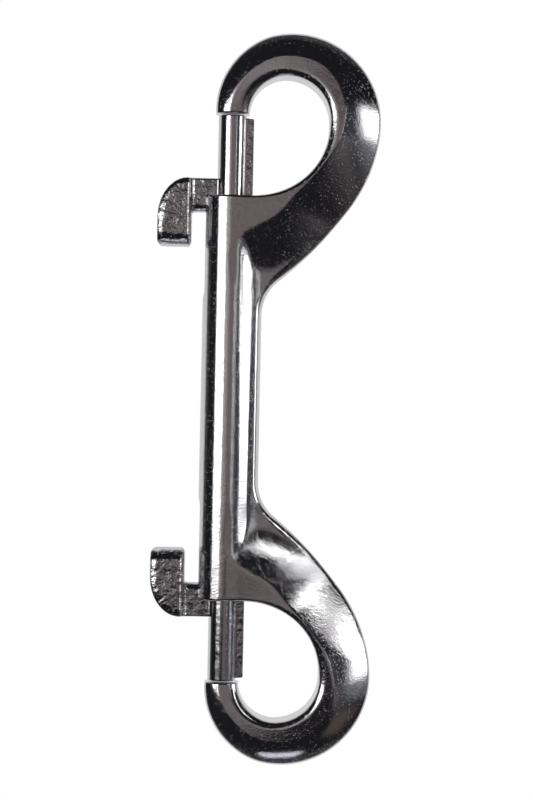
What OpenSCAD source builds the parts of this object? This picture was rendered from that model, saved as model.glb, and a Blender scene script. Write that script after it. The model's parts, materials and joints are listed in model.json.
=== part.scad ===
// Double ended bolt snap, lying flat: a barrel with a fixed hook and a
// spring loaded sliding bolt at each end. Millimetres, length along Y,
// hooks towards +X, thumb knobs towards -X. Each end mirrors the other.

/* [Barrel] */
// Length of the barrel between its two mouths
barrel_len = 63; // [58:0.5:68]
// Outer diameter of the barrel
barrel_d = 8.3; // [7.8:0.1:9]
// Thickness of the solid web that the two springs push against
web_t = 3; // [2:0.5:6]
// Reach of the flange's edge from the barrel's axis
flange_reach = 5.1; // [4.8:0.1:5.6]
// Thickness of the flange at its edge
rim_t = 3; // [2.4:0.1:3.6]

/* [Hooks] */
// Length of a hook beyond the barrel's mouth
hook_len = 25.65; // [25:0.05:27]
// Reach of a hook's widest point from the barrel's axis
hook_reach = 23.2; // [22:0.1:25]
// Radius of a hook's outer curve
hook_r = 13.85; // [13.2:0.05:14.5]
// Radius of the round end of the eye
eye_r = 6.8; // [6:0.1:7.2]
// Distance of the eye's centre from the barrel's axis
eye_x = 8.35; // [8:0.05:9]
// Distance of the eye's centre from the hook's end
eye_end = 13.8; // [13.2:0.1:14.4]
// Width of the hook's tip, where it meets the bolt
tip_w = 5.2; // [4.8:0.1:5.6]
// Thickness of the hook at its tip
tip_t = 5.3; // [5:0.1:6]
// Thickness of the rim at the tip
tip_rim_t = 2.4; // [1.6:0.1:3]
// Thickness of the hook at its widest point
bow_t = 7.6; // [6.8:0.1:8]
// Thickness of the rim there
bow_rim_t = 1.6; // [1.2:0.1:3]
// Thickness of the hook beside the barrel's mouth
root_t = 8.1; // [7.6:0.1:8.3]
// Distance from the barrel's mouth back to where the flange starts to flare
flare_len = 18.5; // [17.5:0.1:20]
// Fillet radius between the flange and the flare
flare_r = 7; // [5:0.5:8]
// Width over which the eye's edge is rounded at the tip
eye_roll = 1.75; // [1.2:0.05:2.1]
// Depth of that rounding
eye_drop = 0.7; // [0.4:0.05:0.9]

/* [Bolts] */
// Diameter of the sliding bolt
bolt_d = 4.4; // [4:0.1:4.8]
// Length of the bolt that shows between the mouth and the hook's tip
gap_len = 12.8; // [11:0.1:14]
// Gap between the closed bolt and the hook's tip
bolt_end_gap = 0.15; // [0.1:0.05:0.3]
// Chamfer around the bolt's front end
bolt_chamfer = 0.25; // [0.1:0.05:0.5]
// Length of the bolt that stays inside the barrel when it is closed
bolt_tail = 9.5; // [6:0.5:10]
// Reach of the bolt's fin from its axis
fin_reach = 3.35; // [2.9:0.05:3.45]
// Thickness of the bolt's fin
fin_t = 1.8; // [1.4:0.1:2.2]
// Running clearance all round the bolt and its fin
bolt_clear = 0.08; // [0.05:0.01:0.1]

/* [Thumb knobs] */
// Distance from the barrel's mouth to the far side of the arm
arm_out = 2.7; // [2:0.1:4]
// Width of the arm, along the barrel
arm_w = 5.3; // [4.5:0.1:6]
// Thickness of the arm
arm_t = 2.6; // [2:0.1:3]
// Clearance on each side of the arm in its slot
arm_clear = 0.2; // [0.1:0.05:0.3]
// Reach of the knob's outer side from the barrel's axis
knob_reach = 11.4; // [10.5:0.1:12.5]
// Width of the knob, across the barrel
knob_w = 5.3; // [4.5:0.1:5.8]
// Length of the knob, along the barrel
knob_len = 10.7; // [9.5:0.1:12]
// Thickness of the knob
knob_t = 5.4; // [4.6:0.1:6.4]
// Width of the knob's curved outer corner, across the barrel
knob_curve_w = 4.7; // [3.5:0.1:5]
// Length of that curve, along the barrel
knob_curve_len = 6.2; // [4:0.1:7]
// Radius of the edges along the knob's sides
knob_edge = 0.5; // [0.3:0.05:1]
// Length of the knob's rounded free end
knob_end_len = 2.2; // [1:0.1:3]
// Height by which the knob's face is crowned
knob_crown = 0.35; // [0.1:0.05:0.5]

/* [Springs] */
// Diameter of the spring wire
wire_d = 0.5; // [0.4:0.05:0.6]
// Outer diameter of the springs
spring_d = 4; // [3.6:0.1:4.1]
// Turns in each spring
spring_turns = 12; // [9:1:13]
// Gap at each end of a spring
seat_gap = 0.1; // [0.05:0.05:0.3]

/* [Hidden] */

casting = [0.66, 0.66, 0.68];
bolt_casting = [0.62, 0.61, 0.6];
spring_steel = [0.5, 0.5, 0.52];

mouth_y = barrel_len / 2;
hook_end_y = mouth_y + hook_len;
flare_start = mouth_y - flare_len;
tip_y = mouth_y + gap_len;
hook_x = hook_reach - hook_r;
hook_y = hook_end_y - hook_r;
eye_y = hook_end_y - eye_end;
bore_r = bolt_d / 2 + bolt_clear;
bolt_travel = gap_len;
arm_inner_y = mouth_y + arm_out - arm_w;
arm_end_r = arm_t / 2;
slot_w = arm_t + 2 * arm_clear;
slot_end_y = arm_inner_y - bolt_travel - arm_clear;
tail_y = mouth_y - bolt_tail;
fin_inner_y = arm_inner_y;
big = 40;

// The model is drawn about the barrel's axis and stands with the middle of its box over the origin.
function middle_x() = (hook_reach - knob_reach) / 2;
module seat() {
    translate([-middle_x(), 0, barrel_d / 2]) children();
}

// Smooth step from 0 to 1 as t goes from a to b
function ease(t, a, b) = let (q = min(max((t - a) / (b - a), 0), 1)) q * q * (3 - 2 * q);
function lerp(a, b, t) = a + (b - a) * t;

// Outer edge of a hook: a circle about the hook's centre that opens towards the flare
// and draws in towards the tip. Angles are in degrees from +X.
flare_angle = -60;
outer_opening = 2.9;
outer_open_power = 2.3;
outer_close_power = 1.2;
outer_tip = [-tip_w / 2 - hook_x, tip_y - hook_y];
outer_tip_angle = 180 - asin(outer_tip[1] / norm(outer_tip));
outer_close_from = 105;
outer_closing = hook_r - norm(outer_tip);
function outer_radius(a) =
    a < 0 ? hook_r + outer_opening * pow(a / flare_angle, outer_open_power)
    : a > outer_close_from ? hook_r - outer_closing
        * pow((a - outer_close_from) / (outer_tip_angle - outer_close_from), outer_close_power)
    : hook_r;
function outer_at(a) = [hook_x + outer_radius(a) * cos(a), hook_y + outer_radius(a) * sin(a)];

// Inner edge of a hook: a circle about the eye's centre, deeper towards the barrel's mouth
// and drawn in towards the tip.
mouth_angle = -112;
inner_open_power = 1.85;
inner_close_power = 1.3;
eye_opening = (eye_y - mouth_y) / sin(-mouth_angle) - eye_r;
inner_tip = [tip_w / 2 - eye_x, tip_y - eye_y];
inner_tip_angle = 180 - asin(inner_tip[1] / norm(inner_tip));
inner_close_from = 95;
eye_closing = eye_r - norm(inner_tip);
function inner_radius(a) =
    a < 0 ? eye_r + eye_opening * pow(a / mouth_angle, inner_open_power)
    : a > inner_close_from ? eye_r - eye_closing
        * pow((a - inner_close_from) / (inner_tip_angle - inner_close_from), inner_close_power)
    : eye_r;
function inner_at(a) = [eye_x + inner_radius(a) * cos(a), eye_y + inner_radius(a) * sin(a)];

// Outer edge of the flare: a fillet out of the flange, then a slightly bowed run to the hook's curve.
flare_end = outer_at(flare_angle);
flare_turn = 46;
flare_bow = 0.35;
function fillet_at(a) = [flange_reach + flare_r * (1 - cos(a)), flare_start + flare_r * sin(a)];
fillet_end = fillet_at(flare_turn);
fillet_steps = 5;
line_steps = 5;
hook_steps = 30;
flare_outer = concat(
    [for (i = [0:fillet_steps]) fillet_at(flare_turn * i / fillet_steps)],
    [for (i = [1:line_steps - 1]) let (t = i / line_steps, bow = flare_bow * sin(180 * t))
        [lerp(fillet_end[0], flare_end[0], t) + bow, lerp(fillet_end[1], flare_end[1], t) - bow]]);

// Inner edge beside the flare: up inside the barrel's wall, then along the eye's bottom.
barrel_side_x = 1.2;
eye_start_angle = -78;
wall_steps = 6;
flare_inner = concat(
    [for (i = [0:wall_steps]) let (t = i / wall_steps)
        [lerp(barrel_side_x, inner_at(mouth_angle)[0], t * t),
         lerp(flare_start, inner_at(mouth_angle)[1], t)]],
    [for (i = [1:fillet_steps + line_steps - wall_steps - 1])
        inner_at(lerp(mouth_angle, eye_start_angle, i / (fillet_steps + line_steps - wall_steps)))]);

hook_outer = [for (i = [0:hook_steps]) outer_at(lerp(flare_angle, outer_tip_angle, i / hook_steps))];
hook_inner = [for (i = [0:hook_steps]) inner_at(lerp(eye_start_angle, inner_tip_angle, i / hook_steps))];

outer_edge = concat(flare_outer, hook_outer);
inner_edge = concat(flare_inner, hook_inner);
stations = len(outer_edge);
flare_share = (fillet_steps + line_steps) / (stations - 1);

// Half thickness of the flange where it meets the barrel, and the width of its sloping edge
flange_root = 2.4;
flange_crease = 0.75;

// Along the hook s runs from the flange (0) over the mouth (flare_share) and the bow to the tip (1).
bow_share = 0.6;
eye_share = 0.5;
root_share = 0.75 * flare_share;
function half_t(s) = lerp(
    flange_root, lerp(lerp(root_t, bow_t, ease(s, flare_share, bow_share)), tip_t, ease(s, bow_share, 1)) / 2,
    ease(s, 0, root_share));
// Width over which the crown falls away to the outer rim beside the mouth, at the bow and at the tip.
// It takes no more than its share of the section.
root_roll = 9.5;
bow_roll = 6.2;
tip_roll = 3.4;
outer_roll_share = 0.76;
function outer_roll(s, w) = min(outer_roll_share * w,
    lerp(lerp(root_roll, bow_roll, ease(s, root_share, bow_share)), tip_roll, ease(s, bow_share, 1)));
function outer_fall(s) = half_t(s)
    - lerp(lerp(rim_t, bow_rim_t, ease(s, root_share, bow_share)), tip_rim_t, ease(s, bow_share, 1)) / 2;
// The same for the eye's edge, which is sharper at the mouth; inside the barrel's wall it dips below the barrel.
mouth_roll = 0.6;
mouth_drop = 0.25;
wall_roll = 3;
wall_drop = 1.6;
inner_roll_share = 0.22;
function wall_share(s) = 1 - ease(s, 0.5 * flare_share, 1.2 * flare_share);
function inner_roll(s, w) = min(inner_roll_share * w,
    lerp(lerp(mouth_roll, eye_roll, ease(s, flare_share, eye_share)), wall_roll, wall_share(s)));
function inner_fall(s) =
    lerp(lerp(mouth_drop, eye_drop, ease(s, flare_share, eye_share)), wall_drop, wall_share(s));
// Fall of a crown at distance d from its edge: an arc of that width and depth
function fall(d, width, drop) =
    let (r = (width * width + drop * drop) / (2 * drop), x = max(width - d, 0)) r - sqrt(r * r - x * x);

// One cross-section: fractions of the width, and heights above the middle
outer_arc_steps = 5;
inner_arc_steps = 4;
rim_corner = 0.22;
rim_side = 0.62;
function section(s, w) = let (a = outer_roll(s, w), b = inner_roll(s, w), h = half_t(s), rim = h - outer_fall(s))
    concat(
        [[0, rim_side * rim]],
        [for (i = [0:outer_arc_steps]) let (d = max(a * i / outer_arc_steps, rim_corner))
            [d / w, h - fall(d, a, h - rim)]],
        [for (i = [inner_arc_steps:-1:0]) let (d = max(b * i / inner_arc_steps, rim_corner / 2))
            [1 - d / w, h - fall(d, b, inner_fall(s))]],
        [[1, h - inner_fall(s) - rim_corner]]);

function ring(i) =
    let (o = outer_edge[i], n = inner_edge[i], s = i / (stations - 1), w = norm(n - o), half = section(s, w),
         top = [for (p = half) [lerp(o[0], n[0], p[0]), lerp(o[1], n[1], p[0]), p[1]]],
         last = len(top) - 1)
    concat(top, [for (k = [last:-1:0]) [top[k][0], top[k][1], -top[k][2]]]);

// A skin over rings of equal length, closed by a flat cap at each end
module skin(rings) {
    n = len(rings[0]);
    m = len(rings);
    points = [for (r = rings) for (p = r) p];
    sides = [for (i = [0:m - 2]) for (k = [0:n - 1]) let (a = i * n + k, b = i * n + (k + 1) % n)
        each [[a, b, b + n], [a, b + n, a + n]]];
    half = n / 2;
    caps = [for (k = [0:half - 2])
        each [[k, n - 1 - k, n - 2 - k], [k, n - 2 - k, k + 1],
              [(m - 1) * n + k, (m - 1) * n + n - 2 - k, (m - 1) * n + n - 1 - k],
              [(m - 1) * n + k, (m - 1) * n + k + 1, (m - 1) * n + n - 2 - k]]];
    polyhedron(points = points, faces = concat(sides, caps), convexity = 8);
}

module hook() {
    skin([for (i = [0:stations - 1]) ring(i)]);
}

// Bar along Y from y0 to y1, its profile drawn in X and Z
module along_y(y0, y1) {
    translate([0, y1, 0]) rotate([90, 0, 0]) linear_extrude(y1 - y0) children();
}

// Profile of the flange: it leaves the barrel's round side in a fillet and ends in a sloping edge
flange_fillet_w = 1.15;
flange_fillet_h = 0.45;
flange_lift = 0.15;
module flange_profile() {
    crease_x = flange_reach - flange_crease;
    crease_z = rim_t / 2 + flange_lift;
    upper = [[0, flange_root], [crease_x - flange_fillet_w, flange_root],
             [crease_x - 0.55 * flange_fillet_w, crease_z + flange_fillet_h], [crease_x, crease_z],
             [flange_reach - flange_lift, rim_side * crease_z], [flange_reach, crease_z / 2]];
    last = len(upper) - 1;
    polygon(concat(upper, [for (i = [last:-1:0]) [upper[i][0], -upper[i][1]]]));
}

// Everything that is cut for one bolt: its bore, the fin's keyway and the arm's slot
module bolt_way() {
    along_y(web_t / 2, mouth_y + 1) circle(bore_r, $fn = 64);
    along_y(arm_inner_y - bolt_travel - 0.5, mouth_y + 1)
        translate([0, -fin_t / 2 - bolt_clear]) square([fin_reach + bolt_clear, fin_t + 2 * bolt_clear]);
    translate([-big, slot_end_y + slot_w / 2, -slot_w / 2])
        cube([big, mouth_y + 1 - slot_end_y - slot_w / 2, slot_w]);
    translate([-big, slot_end_y + slot_w / 2, 0]) rotate([0, 90, 0]) cylinder(d = slot_w, h = big, $fn = 48);
}

module body() {
    color(casting) seat() difference() {
        union() {
            along_y(-mouth_y, mouth_y) circle(barrel_d / 2, $fn = 96);
            along_y(-flare_start - 2, flare_start + 2) flange_profile();
            hook();
            mirror([0, 1, 0]) hook();
        }
        bolt_way();
        mirror([0, 1, 0]) bolt_way();
    }
}

// The thumb knob is what three profiles have in common: its plan, with one corner curved as a
// quarter ellipse, its crowned section across the barrel, and its side, which ends in half an ellipse.
module knob_plan() {
    length = knob_len - knob_curve_len;
    square([knob_w, length]);
    translate([knob_curve_w, length]) intersection() {
        scale([knob_curve_w, knob_curve_len]) circle(1, $fn = 96);
        translate([-knob_curve_w, 0]) square([knob_w, knob_curve_len]);
    }
    translate([knob_curve_w, 0]) square([knob_w - knob_curve_w, knob_len]);
}

module knob_section() {
    crown_r = (pow(knob_w / 2, 2) + pow(knob_crown, 2)) / (2 * knob_crown);
    intersection() {
        translate([knob_edge, knob_edge - knob_t / 2]) offset(r = knob_edge, $fn = 48)
            square([knob_w - 2 * knob_edge, knob_t - 2 * knob_edge]);
        translate([knob_w / 2, knob_t / 2 - crown_r]) circle(crown_r, $fn = 240);
        translate([knob_w / 2, crown_r - knob_t / 2]) circle(crown_r, $fn = 240);
    }
}

module knob_side() {
    translate([0, knob_end_len]) scale([knob_t / 2, knob_end_len]) circle(1, $fn = 96);
    translate([-knob_t / 2, knob_end_len]) square([knob_t, knob_len]);
}

module knob() {
    translate([-knob_reach, mouth_y + arm_out - knob_len, 0]) intersection() {
        translate([0, 0, -knob_t]) linear_extrude(2 * knob_t) knob_plan();
        along_y(0, knob_len) knob_section();
        rotate([0, 90, 0]) linear_extrude(knob_w) knob_side();
    }
}

module arm() {
    length = knob_reach - knob_w / 2;
    translate([-length, 0, 0]) {
        translate([0, arm_inner_y + arm_end_r, -arm_t / 2]) cube([length, arm_w - arm_end_r, arm_t]);
        translate([0, arm_inner_y + arm_end_r, 0]) rotate([0, 90, 0]) cylinder(r = arm_end_r, h = length, $fn = 48);
    }
}

// The upper bolt, closed: pin, fin, arm and knob in one casting
module bolt() {
    front_y = tip_y - bolt_end_gap;
    union() {
        translate([0, tail_y, 0]) rotate([-90, 0, 0]) rotate_extrude($fn = 64)
            polygon([[0, 0], [bolt_d / 2 - bolt_chamfer, 0], [bolt_d / 2, bolt_chamfer],
                     [bolt_d / 2, front_y - tail_y - bolt_chamfer], [bolt_d / 2 - bolt_chamfer, front_y - tail_y],
                     [0, front_y - tail_y]]);
        along_y(fin_inner_y, front_y - bolt_chamfer) translate([0, -fin_t / 2]) square([fin_reach, fin_t]);
        arm();
        knob();
    }
}

module upper_bolt() {
    color(bolt_casting) seat() bolt();
}

module lower_bolt() {
    color(bolt_casting) seat() mirror([0, 1, 0]) bolt();
}

// Compression spring between the web and the bolt's tail, with closed end turns
turn_steps = 12;
wire_sides = 6;
spring_from = web_t / 2 + seat_gap + wire_d / 2;
spring_to = tail_y - seat_gap - wire_d / 2;
function coil_lift(t) = let (q = min(max((t * spring_turns - 1) / (spring_turns - 2), 0), 1))
    lerp(spring_from + wire_d * min(t * spring_turns, 1),
         spring_to - wire_d * min((1 - t) * spring_turns, 1), q);
module spring() {
    mean_r = (spring_d - wire_d) / 2;
    steps = spring_turns * turn_steps;
    skin([for (i = [0:steps]) let (a = 360 * i / turn_steps, y = coil_lift(i / steps))
        [for (k = [0:wire_sides - 1]) let (b = 360 * (k + 0.5) / wire_sides, r = mean_r + wire_d / 2 * cos(b))
            [r * cos(a), y + wire_d / 2 * sin(b), r * sin(a)]]]);
}

module upper_spring() {
    color(spring_steel) seat() spring();
}

module lower_spring() {
    color(spring_steel) seat() mirror([0, 1, 0]) spring();
}

body();
upper_bolt();
lower_bolt();
upper_spring();
lower_spring();
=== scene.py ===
"""Looks of a double ended bolt snap, laid out as a Blender add-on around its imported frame."""
import json
import math
from types import SimpleNamespace

import bpy
import numpy as np
from bpy.props import FloatProperty, FloatVectorProperty, IntProperty, PointerProperty
from mathutils import Matrix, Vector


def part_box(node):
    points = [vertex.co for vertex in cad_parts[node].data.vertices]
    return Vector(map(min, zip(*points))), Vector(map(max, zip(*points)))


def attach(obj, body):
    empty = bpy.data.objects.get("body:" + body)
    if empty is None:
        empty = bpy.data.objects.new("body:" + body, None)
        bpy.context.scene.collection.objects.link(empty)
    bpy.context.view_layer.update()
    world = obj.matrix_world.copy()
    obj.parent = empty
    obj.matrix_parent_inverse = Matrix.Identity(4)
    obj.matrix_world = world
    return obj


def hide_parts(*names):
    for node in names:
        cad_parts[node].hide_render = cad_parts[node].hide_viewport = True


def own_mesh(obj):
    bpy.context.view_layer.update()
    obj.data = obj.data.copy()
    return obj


bl_info = {
    "name": "Double ended bolt snap",
    "version": (1, 0, 0),
    "blender": (4, 5, 0),
    "location": "3D View > Sidebar > Bolt snap",
    "description": "Builds the plated casting, its two sliding bolts and its springs",
    "category": "Object",
}

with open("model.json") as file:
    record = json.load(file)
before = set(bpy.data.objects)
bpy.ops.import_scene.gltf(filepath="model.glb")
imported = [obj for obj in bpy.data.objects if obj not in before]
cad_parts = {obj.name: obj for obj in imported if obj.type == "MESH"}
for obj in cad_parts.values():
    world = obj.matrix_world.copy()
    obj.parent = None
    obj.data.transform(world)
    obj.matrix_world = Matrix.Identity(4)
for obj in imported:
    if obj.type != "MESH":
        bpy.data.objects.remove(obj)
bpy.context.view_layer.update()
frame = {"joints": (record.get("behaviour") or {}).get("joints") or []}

# The frame is in metres. Shapes are worked out in millimetres about the barrel's axis and mid
# length, with the length along Y and the hooks towards +X.
MM = 0.001
BODY_LOW, BODY_HIGH = (np.array(p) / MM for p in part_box("body"))
BOLT_LOW, BOLT_HIGH = (np.array(p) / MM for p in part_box("upper_bolt"))
SPRING_LOW, SPRING_HIGH = (np.array(p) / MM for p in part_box("upper_spring"))
TRAVEL = frame["joints"][0]["range_m"][1] / MM

# The barrel's radius, its mouth from mid length, half the web that the springs push against, and
# the gap between a closed bolt and the hook's tip.
BARREL_R = 4.15
MOUTH_Y = 31.5
WEB_HALF = 1.5
TIP_GAP = 0.15

ORIGIN = np.array([BODY_LOW[0] + BARREL_R, 0.0, (BODY_LOW[2] + BODY_HIGH[2]) / 2])
HALF_LEN = BODY_HIGH[1]
HOOK_REACH = BODY_HIGH[0] - ORIGIN[0]
KNOB_REACH = ORIGIN[0] - BOLT_LOW[0]
BOLT_FRONT = BOLT_HIGH[1]
BOLT_TAIL = BOLT_LOW[1]
TIP_Y = BOLT_FRONT + TIP_GAP

# The hook's outline in degrees about its centres: where the outer curve meets the flare, where the
# eye's side becomes its bottom, where that meets the mouth, and where each curve starts to close.
FLARE_ANGLE = -60.0
EYE_SIDE_ANGLE = -78.0
MOUTH_ANGLE = -112.0
OUTER_CLOSE = 105.0
INNER_CLOSE = 95.0
# Powers of the angle by which each curve opens towards the mouth and closes to the tip.
OUTER_POWERS = (2.3, 1.2)
INNER_POWERS = (1.85, 1.3)
# How far the outer curve opens to the flare, how far the flare bows, and its slope in degrees.
FLARE_OPENING = 2.9
FLARE_BOW = 0.35
FLARE_SLOPE = 46.0

# Cross-sections of half the body: round the hook, under the eye, across the mouth, down the barrel.
HOOK_ROWS, EYE_ROWS, MOUTH_ROWS, SIDE_ROWS = 190, 30, 44, 110
EYE_END = HOOK_ROWS + EYE_ROWS
MOUTH_END = EYE_END + MOUTH_ROWS
# Power that crowds the hook's cross-sections towards its tip.
ROW_CROWDING = 1.35
# Points of the flare's fillet and of its bowed run, and of the straight flange.
FLARE_POINTS, FLANGE_POINTS = 24, 30
# Points across the body: on the rim's rounding, between, and on the inner border. That border
# grows from hook to barrel over SIDE_TURN, in rows from the end of the mouth.
RIM_COLUMNS, MIDDLE_COLUMNS, BORDER_COLUMNS = 10, 34, 18
BORDER_WIDTH = (1.0, 3.6)
SIDE_TURN = (-6, 12)

# A place along the hook is a share of the way from tip to mouth. Sizes that are given five times
# belong to the tip, the bow's top, its widest point, the flare and the mouth.
SECTION_AT = (0.0, 0.45, 0.71, 0.86, 1.0)
# Where the thickness grows from tip to bow and from bow to mouth, where the flat beside the mouth
# comes to fall, and where the bow's slope becomes the flare's face.
THICKEN_TO_BOW = (-0.1, 0.7)
THICKEN_TO_MOUTH = (0.4, 1.0)
FLAT_FALLS = (0.7, 1.05)
SLOPE_TO_FLARE = (0.64, 0.98)
# Where the rounding of the eye's edge grows to that of the mouth, how much of the hook is its tip,
# and from where on the barrel may show.
EDGE_GROWS = (0.5, 1.0)
TIP_SHARE = 0.1
BARREL_SHARE = 0.8

# How far from the axis the flat keeps falling. The share of its slope that the flare's face has
# grows from the first value of FACE_EASE to the second over FACE_EASE_X.
FALL_LIMIT = 12.0
FACE_EASE = (0.9, 1.0)
FACE_EASE_X = (2.0, 9.0)
# The flange becomes the flare over this stretch from the flare's start, and the rim is at its
# lowest this far before the mouth.
TO_FLARE = (3.0, 12.0)
RIM_BEFORE_MOUTH = 1.5
# How softly the flange's slope ends at its edge, and the slope and softness of its crease.
FLANGE_SOFT = 2.0
CREASE_SLOPE = 1.3
CREASE_SOFT = 0.1
# Past the eye the band sinks towards the barrel as a parabola that starts at SINK_X. Beyond
# BARREL_ALONE_X the barrel stands alone, and beyond BARREL_SIDE_X its side has no rounded edge.
SINK_X, SINK_RATE = 1.0, 0.1
BARREL_ALONE_X = -2.0
BARREL_SIDE_X = -3.5
# How far lines that stand for an edge run on past the half body, and a distance that is never near.
RIM_RUNS_ON = 6.0
MOUTH_RUNS_ON = 3.0
FAR = 10.0
# A hair of play, so that points on the mouth's line count as the barrel's.
PLAY = 0.01
# Least half thickness of a slab, so that its wall doesn't vanish.
LEAST = 0.02

# Points round a bore, how far the cutters run out of the mouth, and the keyway's spare length.
BORE_POINTS = 96
PAST_MOUTH = 1.0
KEY_SPARE = 0.5

# Points round a pin, how far round the fin shows as a cosine, the rounding of the fin's corners,
# and how softly it meets the pin. The fin's ends are rounded over FIN_ENDS at its tail and front.
PIN_POINTS = 240
FIN_COSINE = 0.3
FIN_CORNER = 0.22
FIN_BLEND = 0.12
FIN_ENDS = (0.4, 0.3)

# Points along the knob's sides, its curves and the arm, and across the knob and arm. The power
# crowds the first towards the knob's free end.
KNOB_POINTS, CURVE_POINTS, ARM_POINTS, KNOB_COLUMNS = 50, 60, 90, 72
KNOB_CROWDING = 1.6
# The knob's free end: the rounding of its outer corner, the inner corner's share of that, and the
# share of the end's rounding that is left.
KNOB_FOOT = 1.0
INNER_FOOT = 0.6
END_SHARE = 0.88
# Fillet between knob and arm in plan, and the width over which the arm's fillet fades to its edge.
KNEE_FILLET = 0.5
FILLET_FADE = 1.6
# Fall over the knob's crown, as its width and depth, and the bevels of its inner side, as width
# and slope.
KNOB_CROWN = (1.2, 0.33)
KNOB_BEVELS = ((0.4, 1.2), (0.62, 0.9))
# Rounding of the arm's outer edge. The arm rises to the pin from ARM_RISES_X, softened by
# ARM_BLEND, and from ARM_INSIDE_X it stays UNDER_PIN below the pin's surface.
ARM_ROUND = 0.25
ARM_RISES_X = -4.0
ARM_BLEND = 0.9
ARM_INSIDE_X = -1.9
UNDER_PIN = 0.012

# Steps of a spring's helix in each turn, and points round its wire.
TURN_STEPS, WIRE_POINTS = 40, 12

# Bump of the plating as scale, detail and depth in metres: waves left by hand polishing, the lumps
# of the casting's skin, and its grain.
WAVES = (420, 2, 0.00002)
LUMPS = (950, 2, 0.00008)
GRAIN = (4200, 3, 0.00002)
# Stray pits: their scale and depth, where their wall lies in a cell, and the share of cells without.
PIT_SCALE, PIT_DEPTH = 4600, 0.00003
PIT_WALL = (0.05, 0.35)
PIT_FREE = 0.5
# The bolts' skin against the body's: grain, lumps and pits. On the smooth pin, as far as its radius
# and PIN_MARGIN, only the share PIN_BUMP of it is left.
BOLT_GRAIN, BOLT_LUMPS, BOLT_PITS = 2, 1.8, 2.6
PIN_MARGIN = 0.1
PIN_BUMP = 0.12
# Uneven gloss: scale and detail, the noise values it lies between, and the roughness there as
# shares of the given one.
GLOSS = (900, 4)
GLOSS_NOISE = (0.3, 0.7)
GLOSS_SHARES = (0.6, 1.5)

# The camera looks straight down. Its place is in millimetres of the frame, its turn in degrees.
CAMERA_X, CAMERA_Y, CAMERA_Z = 0.27, -0.2, 360.0
CAMERA_TURN = 1.2
SENSOR = 36
# The picture's height in pixels, the photo's scale, and the share of it at which the snap shows.
PICTURE_HEIGHT = 800
MM_PER_PX = 0.156
SHOWN_SHARE = 0.997

# The table's side in metres, its grey and its roughness.
TABLE_SIDE = 4
TABLE_GREY = (0.8, 0.8, 0.8, 1)
TABLE_ROUGH = 0.9
# Glow of the table in the plating: for a ray that leaves it low and for one that leaves it steeply,
# and the steepness over which the one becomes the other.
TABLE_GLOW = (0.05, 0.72)
TABLE_STEEPNESS = (0.26, 0.42)
# Panels of the studio's sky: name, edges as tilts to +X and to +Y in degrees, softness, strength
# and colour.
PANELS = (
    ("overhead", (-52, -22.5), (-4, 8.5), 1.1, 3.0, (1.0, 1.0, 1.0)),
    ("fade", (-30, -8), (-4, 12), 5, 0.26, (1.0, 0.97, 0.95)),
    ("fill", (-30, 30.5), (-4.3, 11), 1.5, 0.16, (1.0, 0.85, 0.83)),
    ("fill_low", (5, 31), (-10, -4.3), 1.5, 0.12, (1.0, 0.9, 0.9)),
    ("line", (33.5, 37), (-5, 11), 1, 0.95, (1.0, 0.97, 0.96)),
    ("dusk", (37, 60), (-9, 12), 2, 0.035, (0.85, 0.92, 1.1)),
    ("right_wall", (61.5, 104), (-2.6, 12), 3, 2.6, (1.0, 1.0, 1.0)),
    ("right_low", (57, 104), (-16, -2), 5, 0.14, (0.95, 1.0, 1.05)),
    ("low_card", (38, 53), (-21, -6), 2, 0.08, (1.0, 0.93, 0.93)),
    ("brown", (50, 78), (-46, -22), 6, 0.07, (1.0, 0.8, 0.68)),
    ("near_strip", (-60, 60), (-84, -72), 2.5, 0.9, (0.95, 0.95, 1.1)),
)
SKY = (0.012, 0.012, 0.014)
WHITE = (1, 1, 1)
# A bent strip light near the snap, in the frame's millimetres: the corners of its path, its width,
# the spot that it faces, its power, and its spread in degrees.
STRIP_PATH = ((61.0, 69.0, 149.5), (114.0, 31.0, 112.5), (173.0, -22.0, 69.0))
STRIP_WIDTH = 7.0
STRIP_FACES = (9.0, -30.0, 6.0)
STRIP_WATTS_PER_MM = 8e-6
STRIP_SPREAD = 38.0


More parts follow.
